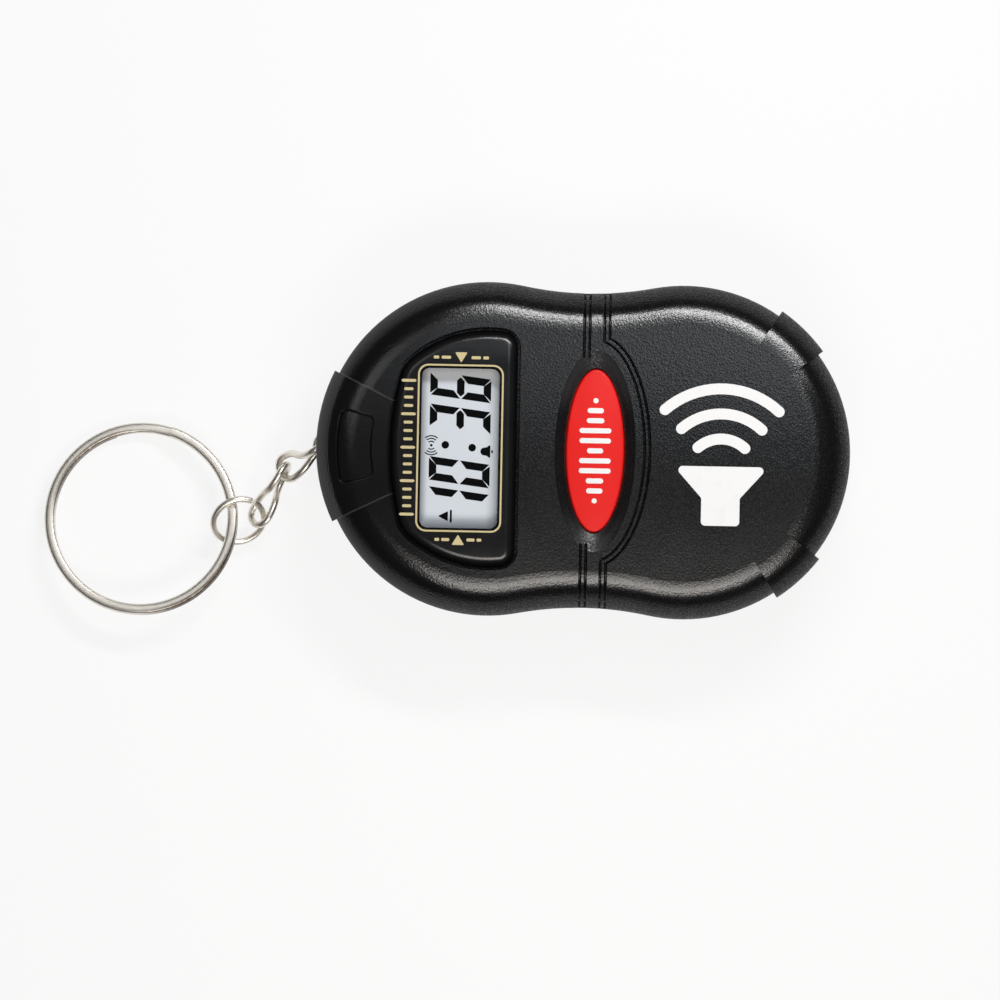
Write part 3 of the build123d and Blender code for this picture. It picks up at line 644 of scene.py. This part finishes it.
def white_print():
    """White pad-printed ink, a little thin in places."""
    thin, solid = (0.86, 0.86, 0.86), (0.90, 0.90, 0.90)
    finish = Finish("white_print", IOR=1.45)
    grain = finish.noise(scale=6000.0, detail=3.0)
    cover = finish.noise(scale=700.0, detail=3.0).smooth(0.2, 0.5)
    tone = finish.blend(cover, thin, solid)
    normal = finish.bump(grain, depth=0.03, strength=0.1)
    return finish.feed(Base_Color=tone, Roughness=0.5 + grain * 0.2, Normal=normal)


def display_ink():
    """Dark display segments."""
    dark, light = (0.0010, 0.0011, 0.0014), (0.0030, 0.0032, 0.0036)
    finish = Finish("display_ink", IOR=1.3)
    grain = finish.noise(scale=5200.0)
    tone = finish.blend(grain, dark, light)
    return finish.feed(Base_Color=tone, Roughness=0.10 + grain * 0.06)


def speckled(name, dark, light, rough, metallic):
    """Plain finish for the inner pieces: two close tones and an uneven gloss."""
    finish = Finish(name, Metallic=metallic, IOR=1.5)
    cloud = finish.noise(scale=1800.0, detail=3.0)
    tone = finish.blend(cloud, dark, light)
    normal = finish.bump(cloud, depth=0.03, strength=0.08)
    return finish.feed(Base_Color=tone, Roughness=rough + cloud * 0.12, Normal=normal)


finishes = {
    "case_plastic": case_plastic(),
    "bezel_plastic": bezel_plastic(),
    "clear_lens": clear_lens(),
    "lcd_glass": lcd_glass(),
    "red_plastic": red_plastic(),
    "nickel": nickel("nickel"),
}

# Finishes of the inner pieces: dark tone, light tone, roughness, and 1 for metal
inner_finishes = {
    "white_plastic": ((0.66, 0.66, 0.64), (0.78, 0.78, 0.76), 0.45, 0.0),
    "strip_rubber": ((0.05, 0.05, 0.055), (0.16, 0.15, 0.15), 0.6, 0.0),
    "board_laminate": ((0.02, 0.12, 0.04), (0.04, 0.2, 0.07), 0.35, 0.0),
    "epoxy": ((0.006, 0.006, 0.007), (0.014, 0.014, 0.014), 0.2, 0.0),
    "can_steel": ((0.5, 0.5, 0.48), (0.64, 0.64, 0.62), 0.25, 1.0),
    "dome_rubber": ((0.5, 0.5, 0.48), (0.62, 0.62, 0.6), 0.55, 0.0),
    "key_plastic": ((0.016, 0.016, 0.018), (0.03, 0.03, 0.032), 0.4, 0.0),
    "magnet": ((0.12, 0.12, 0.13), (0.22, 0.22, 0.23), 0.4, 1.0),
    "cone_film": ((0.26, 0.22, 0.15), (0.38, 0.33, 0.24), 0.25, 0.0),
    "lead_insulation": ((0.4, 0.02, 0.02), (0.55, 0.04, 0.04), 0.45, 0.0),
    "contact_brass": ((0.66, 0.56, 0.34), (0.8, 0.7, 0.46), 0.25, 1.0),
    "screw_steel": ((0.34, 0.34, 0.35), (0.48, 0.48, 0.49), 0.3, 1.0),
}
for inner_name, inner_values in inner_finishes.items():
    finishes[inner_name] = speckled(inner_name, *inner_values)

gold_ink = gold_print()
white_ink = white_print()
segment_ink = display_ink()

for entry in frame["record"]["subparts"]:
    node_mesh = nodes[entry["node"]].data
    node_mesh.materials.clear()
    node_mesh.materials.append(finishes[entry["material_slot"]])
nodes["split_ring"].data.materials[0] = nickel("ring_nickel", ring=True)


def print_on(name, mesh, height, body, carrier=None):
    """Finishes a flat mesh as a printed film at a height, or wrapped onto a carrier's top."""
    mesh.transform(Matrix.Scale(MM, 4) @ Matrix.Translation((0, 0, height)))
    blank = bpy.data.objects.new(name + "_blank", mesh)
    scene.collection.objects.link(blank)
    if carrier:
        wrap = blank.modifiers.new("wrap", "SHRINKWRAP")
        wrap.target = carrier
        wrap.wrap_method = "PROJECT"
        wrap.use_project_z = True
        wrap.use_negative_direction = True
        wrap.use_positive_direction = False
    coat = blank.modifiers.new("coat", "SOLIDIFY")
    coat.thickness = film * MM
    coat.offset = 1.0
    piece = bpy.data.objects.new(name, plain_mesh(blank))
    bpy.data.objects.remove(blank)
    scene.collection.objects.link(piece)
    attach(piece, body)


def filled(name, loops, material):
    """Flat mesh inside closed outlines in millimetres; an outline inside another is a hole."""
    curve = bpy.data.curves.new(name, "CURVE")
    curve.dimensions = "2D"
    curve.fill_mode = "BOTH"
    for loop in loops:
        spline = curve.splines.new("POLY")
        spline.points.add(len(loop) - 1)
        spline.use_cyclic_u = True
        for point, (x, y) in zip(spline.points, loop):
            point.co = (x, y, 0, 1)
    host = bpy.data.objects.new(name, curve)
    scene.collection.objects.link(host)
    mesh = plain_mesh(host)
    bpy.data.objects.remove(host)
    mesh.materials.clear()
    mesh.materials.append(material)
    return mesh


def arc(x, y, radius, start, end, step=radians(5)):
    """Points on an arc from one angle to another."""
    count = max(2, ceil(abs(end - start) / step))
    turns = [start + (end - start) * index / count for index in range(count + 1)]
    return [(x + radius * cos(turn), y + radius * sin(turn)) for turn in turns]


def dot_loop(x, y, radius, step):
    """Closed outline of a round dot."""
    return arc(x, y, radius, 0, 2 * pi, step)[:-1]


def arc_band(x, y, radius, stroke, half_angle, middle=0.0):
    """Curved bar with round ends."""
    low, high = middle - half_angle, middle + half_angle
    half = stroke / 2
    far = arc(x, y, radius + half, low, high)
    top = arc(x + radius * cos(high), y + radius * sin(high), half, high, high + pi)[1:-1]
    near = arc(x, y, radius - half, high, low)
    foot = arc(x + radius * cos(low), y + radius * sin(low), half, low + pi, low + 2 * pi)[1:-1]
    return far + top + near + foot


def rounded(corners, radius, step=radians(10)):
    """Closed outline through corners, each rounded by a radius."""
    loop = []
    for index, corner in enumerate(corners):
        here = Vector(corner)
        before = (Vector(corners[index - 1]) - here).normalized()
        after = (Vector(corners[(index + 1) % len(corners)]) - here).normalized()
        half = before.angle(after) / 2
        middle = here + (before + after).normalized() * radius / sin(half)
        reach = radius / sin(half) * cos(half)
        first = here + before * reach - middle
        turn = first.angle_signed(here + after * reach - middle)
        count = max(2, ceil(abs(turn) / step))
        for part in range(count + 1):
            spoke = first.copy()
            spoke.rotate(Matrix.Rotation(-turn * part / count, 2))
            loop.append(tuple(middle + spoke))
    return loop


def box_loop(u, v, width, height, radius):
    """Rounded box about a centre."""
    return rounded([(u + su * width / 2, v + sv * height / 2) for su, sv in corner_signs], radius)


def upright(loops, x):
    """Turns outlines drawn along the reading direction, which runs up the clock."""
    return [[(x - v, u) for u, v in loop] for loop in loops]


def gold_frame():
    """Thin gold line round the display window."""
    width, length = 2 * window_half_width, 2 * window_half_length
    grown = 2 * gold_line
    inner = box_loop(display_x, 0, width, length, window_corner)
    outer = box_loop(display_x, 0, width + grown, length + grown, window_corner + gold_line)
    mesh = filled("gold_frame", [outer, inner], gold_ink)
    print_on("gold_frame", mesh, bezel_top, "case")


def minute_ticks():
    """Row of short gold strokes on the bezel, every fourth one longer."""
    pattern = Pattern(
        "minute_ticks",
        Count=tick_count, Row=tick_row_length, Length=tick_length, Stroke=tick_stroke,
    )
    count, row, stroke = pattern.size("Count"), pattern.size("Row"), pattern.size("Stroke")
    line = pattern.node("GeometryNodeMeshLine", None, {
        "Count": count,
        "Start Location": pattern.vector(tick_row_x, row * -0.5),
        "Offset": pattern.vector(0.0, row / (count - 1)),
    })
    tick = pattern.bar(pattern.size("Length"), stroke, stroke * tick_corner_share)
    index = pattern.node("GeometryNodeInputIndex")
    longer = (index.math("MODULO", tick_group) < 0.5) * long_tick_extra + 1
    placed = pattern.node("GeometryNodeInstanceOnPoints", None, {
        "Points": line, "Instance": tick, "Scale": pattern.vector(longer, 1.0, 1.0),
    })
    print_on("minute_ticks", pattern.make(placed, gold_ink), bezel_top, "case")


def pointer_marks():
    """Small gold pointer between two pairs of dashes, above and below the window."""
    loops = []
    for y, width, side in pointer_rows:
        tip = pointer_half_height * side
        left, right = ((display_x + sign * pointer_half_width, y + tip) for sign in (-1, 1))
        loops.append(rounded([left, (display_x, y - tip), right], pointer_corner))
        for sign in (-1, 1):
            for place, length in dash_shares:
                x = display_x + sign * width * place
                loops.append(box_loop(x, y, width * length, dash_stroke, dash_corner))
    mesh = filled("pointer_marks", loops, gold_ink)
    print_on("pointer_marks", mesh, bezel_top, "case")


def time_digits():
    """Lit bars of the four digits: mitred level and upright bars, and pointed middle bars."""
    lit = {"0": "abcdef", "1": "bc", "3": "abcdg", "6": "acdefg"}
    side = digit_width / 2 - segment_stroke / 2
    step = digit_height / 2 - segment_stroke / 2
    half = step / 2 + segment_stroke / 4
    bars = {
        "a": ("digit_levels", 0.0, step, pi),
        "d": ("digit_levels", 0.0, -step, 0.0),
        "b": ("digit_stands", side, half, pi / 2),
        "c": ("digit_stands", side, -half, pi / 2),
        "e": ("digit_stands", -side, -half, -pi / 2),
        "f": ("digit_stands", -side, half, -pi / 2),
        "g": ("digit_middles", 0.0, 0.0, 0.0),
    }
    lengths = {
        "digit_levels": digit_width - 2 * segment_gap,
        "digit_stands": digit_height / 2 - segment_gap * stand_gap_share,
        "digit_middles": digit_width - segment_stroke * middle_short_share,
    }
    for name, length in lengths.items():
        points = []
        for u, digit in clock_digits:
            spots = [bars[bar] for bar in lit[digit] if bars[bar][0] == name]
            points += [(u + across, up, turn) for _, across, up, turn in spots]
        pattern = Pattern(name, Length=length, Stroke=segment_stroke, Slant=digit_slant)
        long, stroke = pattern.size("Length"), pattern.size("Stroke")
        if name == "digit_middles":
            bar = pattern.bar(long, stroke, stroke * middle_point_share)
        else:
            bar = pattern.trapezoid(long, long - stroke * mitre_share, stroke)
        turned = pattern.vector(0.0, 0.0, pattern.kept("turn"))
        placed = pattern.node("GeometryNodeInstanceOnPoints", None, {
            "Points": pattern.size("Points"), "Instance": bar, "Rotation": turned,
        })
        solid = pattern.node("GeometryNodeRealizeInstances", None, [placed])
        u, v, _ = pattern.parts(pattern.node("GeometryNodeInputPosition"))
        lean = pattern.vector(display_x - v, u + v * pattern.size("Slant"), 0.0)
        inputs = {"Geometry": solid, "Position": lean}
        leaned = pattern.node("GeometryNodeSetPosition", None, inputs)
        mesh = pattern.make(leaned, segment_ink, points)
        print_on(name, mesh, lcd_top, "case")


def display_signs():
    """Colon, sound, bell and half-day signs between and beside the digits."""
    loops = [dot_loop(u, v, colon_dot, radians(15)) for u, v in colon_dots]
    loops.append(dot_loop(*sound_place, sound_dot, radians(30)))
    for middle in (0.0, pi):
        for radius in sound_radii:
            loops.append(arc_band(*sound_place, radius, sound_stroke, sound_half_angle, middle))
    loops.append([*arc(*bell_crown, *bell_crown_angles, radians(15)), *bell_skirt])
    loops.append(arc(*bell_clapper, pi, 2 * pi, radians(20)))
    loops.append(rounded(half_day_arrow, half_day_corner))
    loops.append(box_loop(*half_day_bar))
    mesh = filled("display_signs", upright(loops, display_x), segment_ink)
    print_on("display_signs", mesh, lcd_top, "case")


def wave_bars():
    """White bars along the talk button that swell and fade like a voice."""
    pattern = Pattern(
        "wave_bars",
        Count=bar_count, Pitch=bar_pitch, Stroke=bar_stroke, Tallest=bar_tallest,
    )
    count, pitch, stroke = pattern.size("Count"), pattern.size("Pitch"), pattern.size("Stroke")
    row = pattern.node("GeometryNodeMeshLine", None, {
        "Count": count,
        "Start Location": pattern.vector(button_x, (count - 1) * pitch * -0.5),
        "Offset": pattern.vector(0.0, pitch),
    })
    along = pattern.node("GeometryNodeInputIndex") / (count - 1) * pi
    swell = abs((along * bar_swells + pi / 2).math("SINE")) * bar_swing + (1 - bar_swing)
    height = pattern.size("Tallest") * swell * along.math("SINE").math("POWER", bar_fade)
    row = pattern.keep(row, "reach", (height - stroke).most(0.0) * 0.5)

    # Each bar is a round dot whose two halves are drawn apart
    inputs = {"Resolution": bar_end_points, "Radius": stroke * 0.5}
    dot = pattern.node("GeometryNodeCurvePrimitiveCircle", None, inputs)
    dot = pattern.node("GeometryNodeFillCurve", None, [dot])
    across, _, _ = pattern.parts(pattern.node("GeometryNodeInputPosition"))
    dot = pattern.keep(dot, "side", across.math("SIGN"))
    placed = pattern.node("GeometryNodeInstanceOnPoints", None, {"Points": row, "Instance": dot})
    bars = pattern.node("GeometryNodeRealizeInstances", None, [placed])
    apart = pattern.vector(pattern.kept("reach") * pattern.kept("side"))
    drawn = pattern.node("GeometryNodeSetPosition", None, {"Geometry": bars, "Offset": apart})
    fine = pattern.node("GeometryNodeSubdivideMesh", None, {"Mesh": drawn, "Level": bar_cuts})
    mesh = pattern.make(fine, white_ink)
    above = button_top + wrap_clearance
    print_on("wave_bars", mesh, above, "talk_key", nodes["talk_button"])


def sounding_horn():
    """White sign of a horn with three sound arcs on the face, read from the clock's right."""
    loops = [rounded(horn_outline, horn_corner)]
    for radius in horn_arc_radii:
        loops.append(arc_band(*horn_arc_place, radius, horn_arc_stroke, horn_arc_half_angle))
    mesh = filled("sounding_horn", upright(loops, horn_x), white_ink)
    print_on("sounding_horn", mesh, face_top, "case")


def dome_profile(foot, top):
    """Half section of the rubber dome: from its top out and down, and back up inside."""
    crown, ceiling = dome_crown_radius, top - dome_crown_wall
    profile = [
        (0.0, top),
        (crown - dome_crown_edge, top),
        (crown - dome_crown_ease, top - dome_crown_ease),
        (crown, top - dome_crown_edge),
    ]
    spread = foot - dome_skirt_inset - crown
    fall = top - dome_foot_height - dome_foot_edge
    for step in dome_skirt_steps:
        profile.append((crown + spread * step ** dome_skirt_draw, top - fall * step))
    return profile + [
        (foot - 2 * dome_foot_edge, dome_foot_height),
        (foot, dome_foot_height - dome_foot_edge),
        (foot, 0.0),
        (foot - dome_side_wall, 0.0),
        (crown - dome_side_wall, ceiling),
        (0.0, ceiling),
    ]


def rubber_dome():
    """Rubber dome with a drawn-in skirt."""
    low, high = (corner / MM for corner in map(Vector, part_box("talk_dome")))
    foot, top = (high.x - low.x) / 2, high.z - low.z
    profile = dome_profile(foot, top)
    shape = bmesh.new()
    points = [shape.verts.new((radius * MM, 0.0, rise * MM)) for radius, rise in profile]
    edges = [shape.edges.new(pair) for pair in zip(points, points[1:])]
    bmesh.ops.spin(shape, geom=points + edges, axis=(0, 0, 1), angle=2 * pi, steps=dome_steps)
    bmesh.ops.remove_doubles(shape, verts=shape.verts, dist=weld * MM)
    bmesh.ops.recalc_face_normals(shape, faces=shape.faces)
    mesh = bpy.data.meshes.new("rubber_dome")
    shape.to_mesh(mesh)
    shape.free()
    base = Vector((button_x, 0.0, low.z)) * MM
    mesh.transform(Matrix.Translation(base))
    mesh.materials.append(finishes["dome_rubber"])
    dome = bpy.data.objects.new("rubber_dome", mesh)
    scene.collection.objects.link(dome)
    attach(dome, "case")
    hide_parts("talk_dome")
    joints = frame["record"]["behaviour"]["joints"]
    press = next(joint for joint in joints if joint["name"] == "talk_press")
    keep = 1 - press["range_m"][1] / (top * MM)
    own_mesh(dome)


gold_frame()
minute_ticks()
pointer_marks()
time_digits()
display_signs()
wave_bars()
sounding_horn()
rubber_dome()

# Floor: white paper that the camera, glossy and clear surfaces see nearly at full white
floor_half = 2.0
floor_z = -0.00003
floor_white = 0.85
paper_dark, paper_light = (0.84, 0.84, 0.84), (0.87, 0.87, 0.87)
floor_corners = [(sx * floor_half, sy * floor_half, floor_z) for sx, sy in corner_signs]
floor_mesh = bpy.data.meshes.new("floor")
floor_mesh.from_pydata(floor_corners, [], [(0, 1, 2, 3)])
floor = bpy.data.objects.new("floor", floor_mesh)
scene.collection.objects.link(floor)
paper = Finish("floor_paper", Roughness=0.7)
paper.feed(Base_Color=paper.blend(paper.noise(scale=6.0), paper_dark, paper_light))
path = paper.node("ShaderNodeLightPath").socket.node.outputs
rays = ("Is Camera Ray", "Is Glossy Ray", "Is Transmission Ray")
by_camera, by_gloss, by_clear = (Value(paper, path[ray]) for ray in rays)
seen = by_camera.most(by_gloss).most(by_clear) * floor_white
glow = paper.node("ShaderNodeEmission", None, {"Color": (1.0, 1.0, 1.0, 1.0), "Strength": 1.0})
lit_paper = Value(paper, paper.shader.outputs[0])
mixed = paper.node("ShaderNodeMixShader", None, [seen, lit_paper, glow])
paper.tree.links.new(mixed.socket, paper.tree.nodes["Material Output"].inputs["Surface"])
floor_mesh.materials.append(paper.material)

# Camera straight above, with a long lens, turned a little as in the picture
frame_width = 0.12005
view_x, view_y, view_z = -10.15, -6.1, 8.0
view_turn = radians(1.1)
camera = bpy.data.cameras.new("camera")
camera.sensor_width = 36.0
camera.lens = 600.0
camera.clip_end = 10.0
distance = frame_width * camera.lens / camera.sensor_width
eye = bpy.data.objects.new("camera", camera)
eye.location = (view_x * MM, view_y * MM, view_z * MM + distance)
eye.rotation_euler = (0, 0, view_turn)
scene.collection.objects.link(eye)
scene.camera = eye


def softbox(name, place, size, power, color=(1, 1, 1)):
    """Soft rectangular lamp aimed at the clock; place and size in metres, power in watts."""
    light = bpy.data.lights.new(name, "AREA")
    light.shape = "RECTANGLE"
    light.size, light.size_y = size
    light.energy = power
    light.color = color
    lamp = bpy.data.objects.new(name, light)
    lamp.location = place
    lamp.rotation_euler = (-Vector(place)).to_track_quat("-Z", "Y").to_euler()
    scene.collection.objects.link(lamp)


cool, warm = (0.84, 0.92, 1.0), (1.0, 0.955, 0.91)
softbox("back_softbox", (0.046, 0.134, 0.180), size=(0.12, 0.021), power=0.325)
softbox("top_softbox", (0.042, 0.066, 0.266), size=(0.06, 0.06), power=0.050, color=cool)
softbox("ring_softbox", (-0.085, 0.065, 0.240), size=(0.09, 0.07), power=0.032)
softbox("front_softbox", (0.015, -0.118, 0.190), size=(0.12, 0.054), power=0.205, color=warm)

world = bpy.data.worlds.new("studio")
world.use_nodes = True
background = world.node_tree.nodes["Background"]
background.inputs["Color"].default_value = (1.0, 1.0, 1.0, 1.0)
background.inputs["Strength"].default_value = 0.07
scene.world = world

scene.view_settings.view_transform = "Standard"
